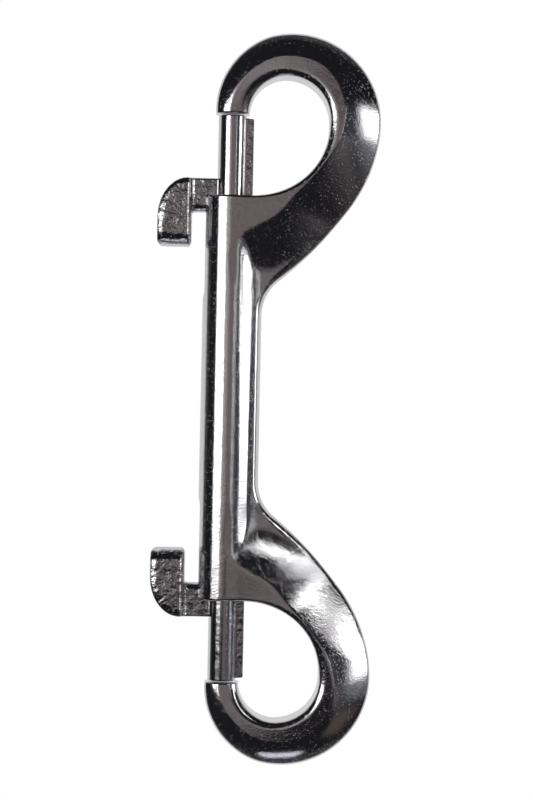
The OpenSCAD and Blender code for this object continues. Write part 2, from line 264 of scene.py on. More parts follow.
class BodySizes(bpy.types.PropertyGroup):
    """Sizes of the casting."""

    hook_r: FloatProperty(
        name="Hook radius", description="Radius of a hook's outer curve",
        default=13.85 * MM, unit="LENGTH")
    eye_r: FloatProperty(
        name="Eye radius", description="Radius of the eye's round end",
        default=6.8 * MM, unit="LENGTH")
    eye_x: FloatProperty(
        name="Eye centre", description="Eye's centre from the barrel's axis",
        default=8.35 * MM, unit="LENGTH")
    eye_end: FloatProperty(
        name="Eye end", description="Eye's centre from the snap's end",
        default=13.8 * MM, unit="LENGTH")
    tip_w: FloatProperty(
        name="Tip width", description="Width of the hook's tip",
        default=5.2 * MM, unit="LENGTH")
    flange_reach: FloatProperty(
        name="Flange reach", description="Flange's edge from the axis",
        default=5.1 * MM, unit="LENGTH")
    flare_start: FloatProperty(
        name="Flare start", description="Where the flange starts to flare",
        default=13.0 * MM, unit="LENGTH")
    flare_r: FloatProperty(
        name="Flare fillet", description="Fillet between flange and flare",
        default=7.0 * MM, unit="LENGTH")
    mouth_height: FloatProperty(
        name="Mouth height", description="Half thickness beside the mouth",
        default=4.08 * MM, unit="LENGTH")
    mouth_fall: FloatProperty(
        name="Mouth fall", description="Fall of the flat beside the mouth",
        default=0.06)
    flange_height: FloatProperty(
        name="Flange height", description="Half thickness at its edge",
        default=1.95 * MM, unit="LENGTH")
    slope_widths: FloatVectorProperty(
        name="Slope widths", description="Width of the outer slope from tip to mouth",
        size=5, unit="LENGTH", default=(2.3 * MM, 3.9 * MM, 6.0 * MM, 6.8 * MM, 9.6 * MM))
    flare_slope: FloatProperty(
        name="Flare slope", description="Mean slope of the flare's face",
        default=0.42)
    slope_starts: FloatVectorProperty(
        name="Slope starts", description="Slope beside the crest from tip to mouth",
        size=5, default=(0.12, 0.25, 0.36, 0.34, 0.3))
    slope_powers: FloatVectorProperty(
        name="Slope powers", description="How late the slope steepens, tip to mouth",
        size=5, default=(2.0, 2.0, 2.0, 1.8, 1.7))
    flare_rim: FloatProperty(
        name="Flare rim", description="Half height of the rim where the flare starts",
        default=1.1 * MM, unit="LENGTH")
    rim_heights: FloatVectorProperty(
        name="Rim heights", description="Half height of the rim from tip to mouth",
        size=5, unit="LENGTH", default=(1.5 * MM, 0.9 * MM, 0.6 * MM, 0.45 * MM, 0.35 * MM))
    eye_widths: FloatVectorProperty(
        name="Eye widths", description="Width of the eye's rounding from tip to mouth",
        size=5, unit="LENGTH", default=(2.0 * MM, 1.15 * MM, 1.4 * MM, 0.8 * MM, 0.5 * MM))
    eye_drops: FloatVectorProperty(
        name="Eye drops", description="Drop of the eye's rounding from tip to mouth",
        size=5, unit="LENGTH", default=(1.2 * MM, 0.55 * MM, 0.55 * MM, 0.35 * MM, 0.12 * MM))
    crease: FloatProperty(
        name="Crease", description="Width of the flange's steep edge",
        default=0.72 * MM, unit="LENGTH")
    flange_slope: FloatProperty(
        name="Flange slope", description="Rise of the flange to the barrel",
        default=0.5)
    bow_height: FloatProperty(
        name="Bow height", description="Half thickness at the widest point",
        default=3.85 * MM, unit="LENGTH")
    tip_height: FloatProperty(
        name="Tip height", description="Half thickness at the tip",
        default=2.65 * MM, unit="LENGTH")
    tip_round: FloatProperty(
        name="Tip rounding", description="Rounding of the edge of the tip's end",
        default=0.25 * MM, unit="LENGTH")
    eye_round: FloatProperty(
        name="Eye rounding", description="Rounding of the eye's edge near the tip",
        default=0.3 * MM, unit="LENGTH")
    rim_round: FloatProperty(
        name="Rim rounding", description="Width of the outer rim's rounding",
        default=0.42 * MM, unit="LENGTH")
    rim_drop: FloatProperty(
        name="Rim drop", description="Drop of the outer rim's rounding",
        default=0.55 * MM, unit="LENGTH")
    mouth_round: FloatProperty(
        name="Mouth rounding", description="Rounding of the mouth's edge",
        default=0.35 * MM, unit="LENGTH")
    blend: FloatProperty(
        name="Blend", description="How softly barrel and flare meet",
        default=0.4 * MM, unit="LENGTH")


class BoltSizes(bpy.types.PropertyGroup):
    """Sizes of a sliding bolt and its spring."""

    pin_r: FloatProperty(
        name="Pin radius", description="Radius of the sliding pin",
        default=2.2 * MM, unit="LENGTH")
    fin_reach: FloatProperty(
        name="Fin reach", description="Reach of the fin from the axis",
        default=3.35 * MM, unit="LENGTH")
    fin_height: FloatProperty(
        name="Fin height", description="Half thickness of the fin",
        default=0.9 * MM, unit="LENGTH")
    arm_height: FloatProperty(
        name="Arm height", description="Half thickness of the arm",
        default=1.3 * MM, unit="LENGTH")
    arm_width: FloatProperty(
        name="Arm width", description="Width of the arm along the barrel",
        default=5.3 * MM, unit="LENGTH")
    arm_out: FloatProperty(
        name="Arm out", description="Arm's far side from the mouth",
        default=2.7 * MM, unit="LENGTH")
    knob_width: FloatProperty(
        name="Knob width", description="Width of the knob",
        default=5.3 * MM, unit="LENGTH")
    knob_len: FloatProperty(
        name="Knob length", description="Length of the knob along the barrel",
        default=10.7 * MM, unit="LENGTH")
    knob_height: FloatProperty(
        name="Knob height", description="Half thickness of the knob",
        default=2.7 * MM, unit="LENGTH")
    knob_r: FloatProperty(
        name="Knob corner", description="Width of the knob's outer curve",
        default=4.7 * MM, unit="LENGTH")
    knob_rise: FloatProperty(
        name="Knob rise", description="Length of the knob's outer curve",
        default=6.2 * MM, unit="LENGTH")
    knob_edge: FloatProperty(
        name="Knob edge", description="Rounding along the knob's sides",
        default=0.16 * MM, unit="LENGTH")
    knob_end: FloatProperty(
        name="Knob end", description="Length of the knob's rounded end",
        default=2.2 * MM, unit="LENGTH")
    arm_fillet: FloatProperty(
        name="Arm fillet", description="Fillet between knob and arm",
        default=0.8 * MM, unit="LENGTH")
    pin_round: FloatProperty(
        name="Pin end", description="Rounding at the pin's ends",
        default=0.25 * MM, unit="LENGTH")
    fin_end: FloatProperty(
        name="Fin end", description="Fin's end from the pin's front",
        default=0.35 * MM, unit="LENGTH")
    clear: FloatProperty(
        name="Clearance", description="Running clearance round the pin",
        default=0.08 * MM, unit="LENGTH")
    arm_clear: FloatProperty(
        name="Arm clearance", description="Clearance of the arm in its slot",
        default=0.2 * MM, unit="LENGTH")
    slot_spare: FloatProperty(
        name="Slot spare", description="Extra slot length for the arm's fillet",
        default=0.4 * MM, unit="LENGTH")
    spring_d: FloatProperty(
        name="Spring diameter", description="Outer diameter of a spring",
        default=4.0 * MM, unit="LENGTH")
    wire_d: FloatProperty(
        name="Wire diameter", description="Diameter of the spring wire",
        default=0.5 * MM, unit="LENGTH")
    turns: IntProperty(name="Turns", description="Turns of a spring", default=12)


class Finish(bpy.types.PropertyGroup):
    """Colour and wear of the plating."""

    plating: FloatVectorProperty(
        name="Plating", description="Colour of the plating", subtype="COLOR", size=4,
        default=(0.74, 0.73, 0.745, 1.0))
    body_rough: FloatProperty(
        name="Body roughness", description="Roughness of the polished body",
        default=0.085, min=0, max=1, subtype="FACTOR")
    bolt_rough: FloatProperty(
        name="Bolt roughness", description="Roughness of the bolts",
        default=0.11, min=0, max=1, subtype="FACTOR")
    grain: FloatProperty(
        name="Grain", description="Strength of the casting's fine grain",
        default=0.8)


def in_mm(group):
    """The numbers of a property group, with its lengths in millimetres."""
    found = {}
    for prop in group.bl_rna.properties:
        if prop.type in {"FLOAT", "INT"}:
            value = getattr(group, prop.identifier)
            value = np.array(value) if prop.is_array else value
            found[prop.identifier] = value / MM if prop.unit == "LENGTH" else value
    return SimpleNamespace(**found)


def smooth(t, a, b):
    """Smooth step from 0 to 1 as t goes from a to b."""
    q = np.clip((np.asarray(t, float) - a) / (b - a), 0, 1)
    return q * q * (3 - 2 * q)


def mix(a, b, t):
    """The share t of the way from a to b."""
    return a + (b - a) * t


def smooth_max(a, b, width):
    """The larger of a and b, rounded where they come within width of each other."""
    h = np.clip(0.5 + 0.5 * (a - b) / width, 0, 1)
    return mix(b, a, h) + width * h * (1 - h)


def rounding(d, r):
    """Height factor of a rounded edge: the sine over a quarter ellipse r wide."""
    q = np.clip(d / r, 0, 1)
    return np.sqrt(np.maximum(0, 1 - (1 - q) ** 2))


def slope_off(d, width, drop, start, power):
    """How far a face has fallen at distance d from its edge. The fall sets in width away from the
    edge with the slope start, and steepens from there as a power."""
    q = np.clip(1 - d / width, 0, 1)
    first = np.minimum(start * width, drop)
    return first * q + (drop - first) * q ** power


def by_station(s, values):
    """Values given at the stations of SECTION_AT, joined by smooth steps."""
    out = values[0] + 0 * s
    for a, b, low, high in zip(SECTION_AT[:-1], SECTION_AT[1:], values[:-1], values[1:]):
        out = out + (high - low) * smooth(s, a, b)
    return out


def fall(d, width, drop):
    """How far a crown of that width has fallen at distance d from its edge: an arc of a circle."""
    r = (width ** 2 + drop ** 2) / (2 * drop)
    x = np.clip(width - d, 0, None)
    return r - np.sqrt(np.maximum(r ** 2 - np.minimum(x, 0.999 * r) ** 2, 0))


def distance_to_line(px, py, line):
    """Least distance of each point to the segments of an open line."""
    a, b = line[:-1], line[1:]
    ab = b - a
    length2 = np.maximum((ab ** 2).sum(1), 1e-12)
    best = np.full(px.shape, 1e9)
    for k in range(len(a)):
        share = ((px - a[k, 0]) * ab[k, 0] + (py - a[k, 1]) * ab[k, 1]) / length2[k]
        t = np.clip(share, 0, 1)
        d = (px - a[k, 0] - t * ab[k, 0]) ** 2 + (py - a[k, 1] - t * ab[k, 1]) ** 2
        best = np.minimum(best, d)
    return np.sqrt(best)


def resample(line, n):
    """n points along a line, evenly by its length."""
    step = np.hypot(*np.diff(line, axis=0).T)
    at = np.concatenate([[0], np.cumsum(step)])
    want = np.linspace(0, at[-1], n)
    return np.stack([np.interp(want, at, line[:, 0]), np.interp(want, at, line[:, 1])], 1)


def radial(centre, r, angle):
    """Points at radius r and angle, in degrees, about a centre."""
    a = np.radians(angle)
    return np.stack([centre[0] + r * np.cos(a), centre[1] + r * np.sin(a)], -1)


def closing_arc(centre, r, tip, angle, opening, close_from, close_power):
    """Points of a circle, widened by the opening, that closes to the tip as a power of the angle,
    and the tip's own angle."""
    tip = tip - centre
    last = math.degrees(math.atan2(tip[1], tip[0]))
    close = np.clip((angle - close_from) / (last - close_from), 0, None) ** close_power
    return radial(centre, r + opening - (r - np.hypot(*tip)) * close, angle), last


def outer_curve(sizes, angle):
    """Outer edge of the hook, which opens to the flare, and the angle of its tip."""
    centre = np.array([HOOK_REACH - sizes.hook_r, HALF_LEN - sizes.hook_r])
    tip = np.array([-sizes.tip_w / 2, TIP_Y])
    open_power, close_power = OUTER_POWERS
    opening = FLARE_OPENING * np.clip(angle / FLARE_ANGLE, 0, None) ** open_power
    return closing_arc(centre, sizes.hook_r, tip, angle, opening, OUTER_CLOSE, close_power)


def inner_curve(sizes, angle):
    """Edge of the eye, which is deeper towards the mouth, and the angle of its tip."""
    centre = np.array([sizes.eye_x, HALF_LEN - sizes.eye_end])
    tip = np.array([sizes.tip_w / 2, TIP_Y])
    open_power, close_power = INNER_POWERS
    deep = (centre[1] - MOUTH_Y) / math.sin(math.radians(-MOUTH_ANGLE)) - sizes.eye_r
    opening = deep * np.clip(angle / MOUTH_ANGLE, 0, None) ** open_power
    return closing_arc(centre, sizes.eye_r, tip, angle, opening, INNER_CLOSE, close_power)


def flank_edge(sizes, start):
    """Outer edge of half the body past the hook: a slightly bowed run down the flare from the start,
    a round fillet, and the straight flange to the middle."""
    turn = np.radians(np.linspace(0, FLARE_SLOPE, FLARE_POINTS))
    fillet = np.stack([sizes.flange_reach + sizes.flare_r * (1 - np.cos(turn)),
                       sizes.flare_start + sizes.flare_r * np.sin(turn)], 1)
    t = np.linspace(0, 1, FLARE_POINTS)[1:-1]
    end = fillet[-1]
    bow = FLARE_BOW * np.sin(np.pi * t)
    run = np.stack([mix(start[0], end[0], t) + bow, mix(start[1], end[1], t) - bow], 1)
    straight = np.linspace(sizes.flare_start, 0, FLANGE_POINTS + 1)[1:]
    flange = np.stack([np.full(FLANGE_POINTS, sizes.flange_reach), straight], 1)
    return np.concatenate([[start], run, fillet[::-1], flange])


def body_edges(sizes):
    """Outer and inner edge of half the body, row by row, from the hook's tip to the middle. The
    inner edge runs round the eye, across the mouth and down the barrel's side."""
    ramp = np.linspace(0, 1, HOOK_ROWS) ** ROW_CROWDING
    outer_last = outer_curve(sizes, np.zeros(1))[1]
    inner_last = inner_curve(sizes, np.zeros(1))[1]
    outer_hook = outer_curve(sizes, mix(outer_last, FLARE_ANGLE, ramp))[0]
    inner_hook = inner_curve(sizes, mix(inner_last, EYE_SIDE_ANGLE, ramp))[0]
    flank = resample(flank_edge(sizes, outer_hook[-1]), EYE_ROWS + MOUTH_ROWS + SIDE_ROWS + 1)
    under = np.linspace(EYE_SIDE_ANGLE, MOUTH_ANGLE, EYE_ROWS + 1)[1:]
    eye_bottom = inner_curve(sizes, under)[0]
    eye_bottom[:, 1] = np.maximum(eye_bottom[:, 1], MOUTH_Y)
    across = np.linspace(eye_bottom[-1, 0], -BARREL_R, MOUTH_ROWS + 1)[1:]
    mouth = np.stack([across, np.full(MOUTH_ROWS, MOUTH_Y)], 1)
    down = np.linspace(MOUTH_Y, 0, SIDE_ROWS + 1)[1:]
    side = np.stack([np.full(SIDE_ROWS, -BARREL_R), down], 1)
    inner = np.concatenate([inner_hook, eye_bottom, mouth, side])
    return np.concatenate([outer_hook, flank[1:]]), inner


def body_grid(sizes):
    """Half the body in plan, as rows of points from its outer to its inner edge: X and Y, the least
    distance to the rim and to the eye's edge, and how far each row lies on the barrel's side."""
    outer, inner = body_edges(sizes)
    on_side = smooth(np.arange(len(outer)), MOUTH_END + SIDE_TURN[0], MOUTH_END + SIDE_TURN[1])[:, None]
    width = np.hypot(*(inner - outer).T)[:, None]
    quarter = np.radians(np.linspace(0, 90, RIM_COLUMNS))
    first = sizes.rim_round * (1 - np.cos(quarter)) / width
    quarter = np.radians(np.linspace(90, 0, BORDER_COLUMNS))
    last = 1 - mix(*BORDER_WIDTH, on_side) / width * (1 - np.cos(quarter))
    middle = np.linspace(0, 1, MIDDLE_COLUMNS)[1:-1]
    w = np.concatenate([first, mix(first[:, -1:], last[:, :1], middle), last], 1)
    px = mix(outer[:, :1], inner[:, :1], w)
    py = mix(outer[:, 1:], inner[:, 1:], w)
    # Every second to fourth row is enough to measure from.
    rim_line = np.concatenate([outer[:HOOK_ROWS:2], outer[HOOK_ROWS::3],
                               [outer[-1] - [0, RIM_RUNS_ON]]])
    eye_line = np.concatenate([inner[:EYE_END:2], inner[EYE_END:MOUTH_END:4],
                               [[-BARREL_R - MOUTH_RUNS_ON, MOUTH_Y]]])
    d_out = distance_to_line(px, py, rim_line)
    d_in = distance_to_line(px, py, eye_line)
    d_out[:, 0] = 0
    d_in[:MOUTH_END, -1] = 0
    return px, py, d_out, d_in, on_side


def hook_lens(sizes, s, px, py, d_out, d_in):
    """Height of the hook's lens: a crest that grows from tip to mouth, less its fall to the rim by
    slope_off and its fall to the eye as an arc."""
    half = mix(sizes.tip_height, sizes.bow_height, smooth(s, *THICKEN_TO_BOW))
    half = mix(half, sizes.mouth_height, smooth(s, *THICKEN_TO_MOUTH))
    half = half - sizes.mouth_fall * np.clip(px, 0, FALL_LIMIT) * smooth(s, *FLAT_FALLS)
    to_flare = smooth(s, *SLOPE_TO_FLARE)
    flare_rim = mix(sizes.flare_rim, sizes.rim_heights[-1],
                    smooth(py, sizes.flare_start, MOUTH_Y - RIM_BEFORE_MOUTH))
    rim = mix(by_station(s, sizes.rim_heights), flare_rim, to_flare)
    slope = sizes.flare_slope * mix(*FACE_EASE, smooth(px, *FACE_EASE_X))
    out_w = mix(by_station(s, sizes.slope_widths), (half - rim) / slope, to_flare)
    start = by_station(s, sizes.slope_starts)
    power = by_station(s, sizes.slope_powers)
    to_rim = slope_off(d_out, out_w, half - rim, start, power)
    return half - to_rim - fall(d_in, by_station(s, sizes.eye_widths), by_station(s, sizes.eye_drops))


def body_height(sizes, s, px, py, d_out, d_in, on_side):
    """Height of the body's top: the smooth larger of the barrel's circle and of a band that follows
    the outline, as a lens along the hook and a sloping flange along the barrel."""
    rise = smooth_max(sizes.flange_reach - px, 0, FLANGE_SOFT)
    flange = sizes.flange_height + sizes.flange_slope * rise
    to_flare = smooth(py, sizes.flare_start + TO_FLARE[0], sizes.flare_start + TO_FLARE[1])
    band = mix(flange, hook_lens(sizes, s, px, py, d_out, d_in), to_flare)
    steep = np.sqrt(np.clip(sizes.crease - d_out, 0, None) ** 2 + CREASE_SOFT ** 2)
    band = band - mix(CREASE_SLOPE, 0.0, to_flare) * steep
    sunk = sizes.mouth_height - SINK_RATE * np.clip(SINK_X - px, 0, None) ** 2
    band = np.where(s > 1, np.minimum(band, sunk), band)
    band = band - sizes.rim_drop * (1 - rounding(d_out, sizes.rim_round))
    barrel = np.sqrt(np.maximum(BARREL_R ** 2 - px ** 2, 0))
    joined = np.where(px < BARREL_ALONE_X, barrel, smooth_max(barrel, band, sizes.blend))
    z = np.where((py < MOUTH_Y + PLAY) & (s > BARREL_SHARE), joined, band)
    edge = mix(sizes.eye_round, sizes.mouth_round, smooth(s, *EDGE_GROWS))
    z = z - edge * (1 - rounding(d_in, edge)) * (1 - on_side * (px < BARREL_SIDE_X))
    to_end = np.abs(py - TIP_Y) + FAR * (s > TIP_SHARE)
    z = z - sizes.tip_round * (1 - rounding(to_end, sizes.tip_round))
    return np.maximum(z, LEAST)


def body_mesh(sizes):
    """The casting as one closed skin over cross-sections that run from tip to tip."""
    px, py, d_out, d_in, on_side = body_grid(sizes)
    s = np.broadcast_to((np.arange(len(px)) / EYE_END)[:, None], px.shape)
    top = np.stack([px, py, body_height(sizes, s, px, py, d_out, d_in, on_side)], -1)
    return slab_mesh("body_casting", np.concatenate([top, top[::-1][1:] * [1, -1, 1]]))


def slab_mesh(name, top, levels=4):
    """Mesh of a slab that mirrors itself in Z: a grid for its top, and an upright wall round its
    border."""
    m, n = top.shape[:2]
    index = np.arange(m * n).reshape(m, n)
    border = np.concatenate([index[:-1, 0], index[-1, :-1], index[:0:-1, -1], index[0, :0:-1]])
    points = top.reshape(-1, 3)
    rings = [border]
    layers = [points, points * [1, 1, -1]]
    for k in range(1, levels):
        rings.append(len(np.concatenate(layers)) + np.arange(len(border)))
        layers.append(points[border] * [1, 1, 1 - 2 * k / levels])
    rings.append(border + m * n)
    cells = np.stack([index[:-1, :-1], index[1:, :-1], index[1:, 1:], index[:-1, 1:]], -1)
    quads = [cells.reshape(-1, 4)]
    quads.append(quads[0][:, ::-1] + m * n)
    for a, b in zip(rings[:-1], rings[1:]):
        quads.append(np.stack([np.roll(a, -1), a, b, np.roll(b, -1)], -1))
    return mesh_object(name, np.concatenate(layers), [np.concatenate(quads)])


def tube_mesh(name, rings):
    """Mesh of a solid whose surface is a row of closed rings, with a flat cap at each end."""
    m, n = rings.shape[:2]
    index = np.arange(m * n).reshape(m, n)
    turned = np.roll(index, -1, 1)
    quads = np.stack([index[:-1], index[1:], turned[1:], turned[:-1]], -1).reshape(-1, 4)
    return mesh_object(name, rings.reshape(-1, 3), [quads, index[:1], index[-1:, ::-1]])


def mesh_object(name, points, faces):
    """An object in metres, in the frame's own place, from millimetre points about the barrel's axis.
    Its faces are turned outwards by the sign of the volume that they enclose."""
    a, b, c = (points[faces[0][:, k]] for k in (0, 1, 2))
    if (np.cross(b - a, c - a) * a).sum() < 0:
        faces = [f[:, ::-1] for f in faces]
    sizes = np.concatenate([np.full(len(f), f.shape[1]) for f in faces])
    corners = np.concatenate([f.ravel() for f in faces])
    mesh = bpy.data.meshes.new(name)
    mesh.vertices.add(len(points))
    mesh.vertices.foreach_set("co", ((points + ORIGIN) * MM).astype(np.float32).ravel())
    mesh.loops.add(len(corners))
    mesh.loops.foreach_set("vertex_index", corners.astype(np.int32))
    mesh.polygons.add(len(sizes))
    mesh.polygons.foreach_set("loop_start", (np.cumsum(sizes) - sizes).astype(np.int32))
    mesh.polygons.foreach_set("loop_total", sizes.astype(np.int32))
    mesh.update(calc_edges=True)
    obj = bpy.data.objects.new(name, mesh)
    bpy.context.scene.collection.objects.link(obj)
    return obj


def shade(obj, angle=35):
    """Smooth shading, but for edges sharper than the angle in degrees."""
    obj.data.polygons.foreach_set("use_smooth", np.ones(len(obj.data.polygons), bool))
    obj.data.set_sharp_from_angle(angle=math.radians(angle))


def box_rings(x0, x1, y0, y1, z, round_r=0.0):
    """Rings along X of a box, with its low Y end rounded in Y and Z where round_r is given."""
    turn = np.radians(np.linspace(90, 270, 25)) if round_r else np.radians([135, 225])
    r = round_r or z * math.sqrt(2)
    arc = np.stack([y0 + (round_r or z) + r * np.cos(turn), r * np.sin(turn)], 1)
    outline = np.concatenate([[[y1, z]], arc, [[y1, -z]]])
    return np.stack([np.column_stack([np.full(len(outline), x), outline]) for x in (x0, x1)])


def cut_bolt_ways(body, sizes):
    """Bore, keyway and slot for both bolts, cut from the casting by an exact boolean."""
    turn = np.linspace(0, 2 * np.pi, BORE_POINTS + 1)[:-1]
    clear = sizes.clear
    inner_y = MOUTH_Y + sizes.arm_out - sizes.arm_width - TRAVEL
    outer_y = MOUTH_Y + PAST_MOUTH
    bore = sizes.pin_r + clear
    circle = np.stack([bore * np.cos(turn), 0 * turn, bore * np.sin(turn)], 1)
    bore_rings = np.stack([circle + [0, y, 0] for y in (WEB_HALF, outer_y)])
    key = box_rings(0, sizes.fin_reach + clear, inner_y - KEY_SPARE, outer_y, sizes.fin_height + clear)
    slot_z = sizes.arm_height + sizes.arm_clear
    slot_y = inner_y - sizes.arm_clear - sizes.slot_spare
    slot = box_rings(-2 * BARREL_R, 0, slot_y, outer_y, slot_z, slot_z)
    cutters = []
    for rings in (bore_rings, key, slot):
        for side in (1, -1):
            cutters.append(tube_mesh("cutter", rings * [1, side, 1]))
    for cutter in cutters:
        cut = body.modifiers.new("cut", "BOOLEAN")
        cut.operation = "DIFFERENCE"
        cut.solver = "EXACT"
        cut.object = cutter
    bpy.context.view_layer.update()
    cut_body = body.evaluated_get(bpy.context.evaluated_depsgraph_get())
    cut_mesh = bpy.data.meshes.new_from_object(cut_body)
    cut_mesh.name = body.data.name
    body.modifiers.clear()
    body.data = cut_mesh
    for cutter in cutters:
        bpy.data.objects.remove(cutter)


def pin_mesh(name, sizes, side):
    """The sliding pin with its fin: rings along the axis, each the smooth larger of a circle
    and of a rounded rectangle in polar form, drawn in at the pin's two ends."""
    turn = np.linspace(0, 2 * np.pi, PIN_POINTS + 1)[:-1]
    cos, sin = np.cos(turn), np.abs(np.sin(turn))
    reach = sizes.fin_reach / np.maximum(cos, 0.05)
    top = sizes.fin_height / np.maximum(sin, 0.02)
    fin = np.where(cos > FIN_COSINE, -smooth_max(-reach, -top, FIN_CORNER), 0)
    quarter = np.radians(np.linspace(0, 90, 9))
    end = sizes.pin_round
    fin_tail = MOUTH_Y + sizes.arm_out - sizes.arm_width
    fin_front = BOLT_FRONT - sizes.fin_end
    # Stretches of rings as start, end and count. They lie closer at the fin's two ends.
    stretches = ((BOLT_TAIL + end, fin_tail - 0.2, 12), (fin_tail - 0.2, fin_tail + 0.6, 10),
                 (fin_tail + 0.7, BOLT_FRONT - 1.2, 60), (BOLT_FRONT - 1.1, BOLT_FRONT - end, 22))
    y = np.concatenate([BOLT_TAIL + end * (1 - np.cos(quarter)),
                        *(np.linspace(*stretch) for stretch in stretches),
                        BOLT_FRONT - end * np.cos(quarter)])
    y = np.unique(np.round(y, 5))
    share = (rounding(np.clip(y - fin_tail, 0, None), FIN_ENDS[0])
             * rounding(np.clip(fin_front - y, 0, None), FIN_ENDS[1]))
    to_end = np.clip(np.minimum(y - BOLT_TAIL, BOLT_FRONT - y), 0, None)
    drawn = end * (1 - rounding(to_end, end))
    r = smooth_max(sizes.pin_r, mix(0.0, fin[None, :], share[:, None]), FIN_BLEND) - drawn[:, None]
    rings = np.stack([r * cos, np.broadcast_to(y[:, None], r.shape), r * np.sin(turn)], -1)
    return tube_mesh(name, rings * [1, side, 1])


def knob_edges(sizes):
    """Outer and inner edge of the knob and its arm, from the knob's free end to the axis. Each runs
    up the knob, turns by a curve and follows the arm."""
    top_y = MOUTH_Y + sizes.arm_out
    low_y = top_y - sizes.knob_len
    left, right = -KNOB_REACH, -KNOB_REACH + sizes.knob_width
    up = np.linspace(0, 1, KNOB_POINTS) ** KNOB_CROWDING
    quarter = np.radians(np.linspace(0, 90, CURVE_POINTS))
    edges = []
    for x, y, wide, high in ((left, top_y, sizes.knob_r, sizes.knob_rise),
                             (right, top_y - sizes.arm_width, KNEE_FILLET, KNEE_FILLET)):
        straight = np.stack([np.full(KNOB_POINTS, x), mix(low_y, y - high, up)], 1)
        curve = np.stack([x + wide * (1 - np.cos(quarter)), y - high + high * np.sin(quarter)], 1)
        arm_x = np.linspace(x + wide, 0, ARM_POINTS + 1)[1:]
        arm = np.stack([arm_x, np.full(ARM_POINTS, y)], 1)
        edges.append(np.concatenate([straight, curve[1:], arm]))
    outer, inner = edges
    above = outer[:, 1] - low_y + FAR * (np.arange(len(outer)) >= KNOB_POINTS)
    squeeze = KNOB_FOOT * (1 - rounding(above, KNOB_FOOT))
    outer[:, 0] += squeeze
    inner[:, 0] -= INNER_FOOT * squeeze
    return outer, inner


def knob_height(sizes, px, d_out, d_in, d_end):
    """Height of the knob and its arm: crowned on the knob, rounded at every edge and rising in a
    fillet to the pin."""
    right = -KNOB_REACH + sizes.knob_width
    d_right = np.clip(right - px, 0, None)
    edge = sizes.knob_edge
    face = sizes.knob_height - fall(d_out, *KNOB_CROWN)
    for width, slope in KNOB_BEVELS:
        face = face - slope * np.clip(width - d_right, 0, None)
    face = face - edge * (1 - rounding(d_out, edge)) - edge * (1 - rounding(d_right, edge))
    half_end = sizes.knob_height * (1 - rounding(d_end, sizes.knob_end))
    knob = face - END_SHARE * half_end
    outer_round = ARM_ROUND * (1 - rounding(d_out, ARM_ROUND))
    arm = (sizes.arm_height - outer_round) * rounding(d_in, sizes.arm_height)
    climb = sizes.arm_fillet * (1 - rounding(np.clip(px - right, 0, None), sizes.arm_fillet))
    z = np.where(px > right, arm + climb * rounding(d_in, FILLET_FADE), knob)
    pin = np.sqrt(np.maximum(sizes.pin_r ** 2 - px ** 2, 0)) - UNDER_PIN
    z = np.where(px > ARM_RISES_X, smooth_max(z, pin - outer_round, ARM_BLEND), z)
    z = np.where(px > ARM_INSIDE_X, np.minimum(z, pin), z)
    return np.maximum(z, LEAST)


def knob_mesh(name, sizes, side):
    """The thumb knob and its arm: a slab between the two edges of knob_edges."""
    outer, inner = knob_edges(sizes)
    w = (1 - np.cos(np.pi * np.linspace(0, 1, KNOB_COLUMNS))) / 2
    px = mix(outer[:, :1], inner[:, :1], w)
    py = mix(outer[:, 1:], inner[:, 1:], w)
    d_out = distance_to_line(px, py, outer)
    d_in = distance_to_line(px, py, inner)
    d_end = np.abs(py - (MOUTH_Y + sizes.arm_out - sizes.knob_len))
    top = np.stack([px, py, knob_height(sizes, px, d_out, d_in, d_end)], -1)
    return slab_mesh(name, top * [1, side, 1])


def join(name, parts):
    """One object out of several, with the first one's data."""
    with bpy.context.temp_override(active_object=parts[0], selected_editable_objects=parts):
        bpy.ops.object.join()
    parts[0].name = parts[0].data.name = name
    return parts[0]


def spring_mesh(name, sizes, side):
    """A compression spring with closed end turns: a round wire swept along a helix."""
    turns, wire = sizes.turns, sizes.wire_d
    at = np.linspace(0, 1, turns * TURN_STEPS + 1) * turns
    low, high = SPRING_LOW[1] + wire / 2, SPRING_HIGH[1] - wire / 2
    y = mix(low + wire * np.minimum(at, 1), high - wire * np.minimum(turns - at, 1),
            np.clip((at - 1) / (turns - 2), 0, 1))[:, None]
    mean = sizes.spring_d / 2 - wire / 2
    round_wire = np.linspace(0, 2 * np.pi, WIRE_POINTS + 1)[:-1]
    r = mean + wire / 2 * np.cos(round_wire)[None, :]
    a = (2 * np.pi * at)[:, None]
    rings = np.stack([r * np.cos(a), y + wire / 2 * np.sin(round_wire) + 0 * a, r * np.sin(a)], -1)
    return tube_mesh(name, rings * [1, side, 1])


def put(tree, kind, inputs=None, **settings):
    """A new node of that kind. Each input is a value or the output of another node."""
    node = tree.nodes.new("ShaderNode" + kind)
    for name, value in settings.items():
        setattr(node, name, value)
    for socket, value in (inputs or {}).items():
        if isinstance(value, bpy.types.NodeSocket):
            tree.links.new(value, node.inputs[socket])
        else:
            node.inputs[socket].default_value = value
    return node


def maths(tree, operation, *values):
    """What a Math node makes of the values."""
    return put(tree, "Math", dict(enumerate(values)), operation=operation).outputs[0]


def ranged(tree, value, from_range, to_range, kind="LINEAR"):
    """A value carried over from one range to another."""
    inputs = {"Value": value, "From Min": from_range[0], "From Max": from_range[1],
              "To Min": to_range[0], "To Max": to_range[1]}
    return put(tree, "MapRange", inputs, interpolation_type=kind).outputs["Result"]


